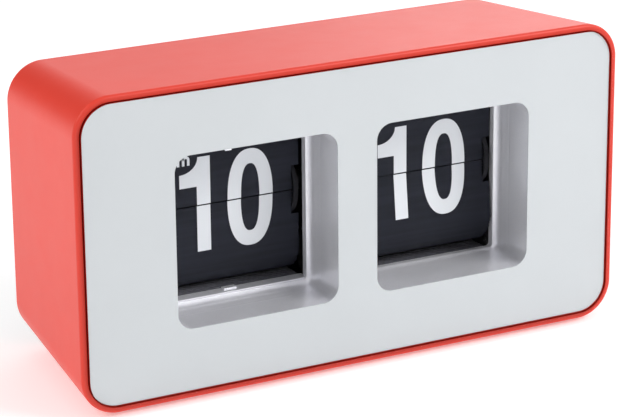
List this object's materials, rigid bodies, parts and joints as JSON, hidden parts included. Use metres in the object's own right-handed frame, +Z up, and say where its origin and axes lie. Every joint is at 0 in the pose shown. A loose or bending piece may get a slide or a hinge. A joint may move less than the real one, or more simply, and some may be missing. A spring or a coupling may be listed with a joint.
{
  "type": "flip number clock",
  "caption": "Battery table clock with a tapered rounded case, clear front plate, two square windows and drums of split leaves that fall to show hours and minutes.",
  "frame": {"origin": "on the table surface, at the middle of the footprint", "axes": "+X to the right seen from the front, +Y from the front to the back, +Z up"},
  "size_m": [0.18, 0.086, 0.096],
  "materials": {
    "arbor_steel": "turned",
    "board_green": "solder mask",
    "brass": "turned",
    "cell_label": "printed label",
    "charcoal_plastic": "fine moulded texture",
    "chip_black": "moulded",
    "clear_plate": "clear, polished",
    "coral_shell": "soft-touch satin",
    "drum_black": "moulded",
    "foot_rubber": "matte",
    "frame_plastic": "moulded",
    "gear_nylon": "moulded",
    "leaf_black": "satin black with white print",
    "plate_steel": "rolled",
    "screw_steel": "zinc plated",
    "silver_bezel": "satin silver paint",
    "spring_steel": "nickel plated",
    "tray_grey": "moulded, grooved",
    "white_print": "printed white",
    "wire_insulation": "smooth"
  },
  "bodies": {
    "case": {"case_sleeve": "coral_shell", "front_lens": "clear_plate", "window_mask": "white_print", "window_bezel": "silver_bezel", "rear_cover": "charcoal_plastic", "rear_cover_screws": "screw_steel", "rubber_feet": "foot_rubber", "battery_tray": "charcoal_plastic", "contact_plate": "spring_steel", "contact_spring": "spring_steel", "battery_leads": "wire_insulation", "movement_frame": "frame_plastic", "movement_screws": "screw_steel", "centre_plate": "frame_plastic", "motor_plate": "plate_steel", "motor_plate_posts": "arbor_steel", "front_ring": "silver_bezel", "hour_leaf_tray": "tray_grey", "minute_leaf_tray": "tray_grey", "minute_leaves_waiting": "leaf_black", "minute_leaves_fallen": "leaf_black", "hour_leaves_waiting": "leaf_black", "hour_leaves_fallen": "leaf_black", "motor_housing": "plate_steel", "motor_cap": "gear_nylon", "setting_axle": "arbor_steel", "circuit_board": "board_green", "timer_chip": "chip_black", "crystal_can": "plate_steel"},
    "minute_drum": {"drum_shaft": "arbor_steel", "minute_hub": "drum_black", "minute_disc_inner": "drum_black", "minute_disc_outer": "drum_black", "minute_pinion": "brass", "minute_gear": "gear_nylon"},
    "hour_drum": {"hour_hub": "drum_black", "hour_disc_inner": "drum_black", "hour_disc_outer": "drum_black", "hour_gear": "drum_black"},
    "idler": {"idler_axle": "arbor_steel", "idler_wheel": "gear_nylon", "idler_pinion": "brass"},
    "motor_rotor": {"motor_arbor": "arbor_steel", "motor_pinion": "brass"},
    "setting_knob": {"setting_gear": "gear_nylon", "setting_wheel": "charcoal_plastic"},
    "minute_leaf": {"minute_flap": "leaf_black"},
    "hour_leaf": {"hour_flap": "leaf_black"},
    "door": {"battery_door": "charcoal_plastic"},
    "cell": {"battery_cell": "cell_label"}
  },
  "joints": [
    {"name": "minute_spin", "type": "hinge", "parent": "case", "child": "minute_drum", "pos_m": [0, -0.0113, 0.0516], "axis": [1, 0, 0], "continuous": true},
    {"name": "hour_spin", "type": "hinge", "parent": "case", "child": "hour_drum", "pos_m": [0, -0.0113, 0.0516], "axis": [1, 0, 0], "continuous": true},
    {"name": "idler_spin", "type": "hinge", "parent": "case", "child": "idler", "pos_m": [0, -0.00005, 0.06501], "axis": [1, 0, 0], "continuous": true},
    {"name": "motor_spin", "type": "hinge", "parent": "case", "child": "motor_rotor", "pos_m": [0, -0.02033, 0.03962], "axis": [1, 0, 0], "continuous": true},
    {"name": "setting_spin", "type": "hinge", "parent": "case", "child": "setting_knob", "pos_m": [0, 0.00875, 0.04734], "axis": [1, 0, 0], "continuous": true},
    {"name": "minute_leaf_fall", "type": "hinge", "parent": "case", "child": "minute_leaf", "pos_m": [0.0327, -0.02159, 0.05213], "axis": [1, 0, 0], "range_deg": [0, 173]},
    {"name": "hour_leaf_fall", "type": "hinge", "parent": "case", "child": "hour_leaf", "pos_m": [-0.0327, -0.01964, 0.05267], "axis": [1, 0, 0], "range_deg": [0, 180]},
    {"name": "door_slide", "type": "slide", "parent": "case", "child": "door", "axis": [0, 1, 0], "range_m": [0, 0.06]},
    {"name": "cell_slide", "type": "slide", "parent": "case", "child": "cell", "axis": [0, 1, 0], "range_m": [0, 0.06]}
  ],
  "couplings": [
    {"joint": "hour_spin", "follows": "minute_spin", "ratio": 0.041667},
    {"joint": "idler_spin", "follows": "minute_spin", "ratio": -0.25},
    {"joint": "motor_spin", "follows": "minute_spin", "ratio": -5},
    {"joint": "setting_spin", "follows": "minute_spin", "ratio": -1.5625},
    {"joint": "cell_slide", "follows": "door_slide", "ratio": 1}
  ]
}
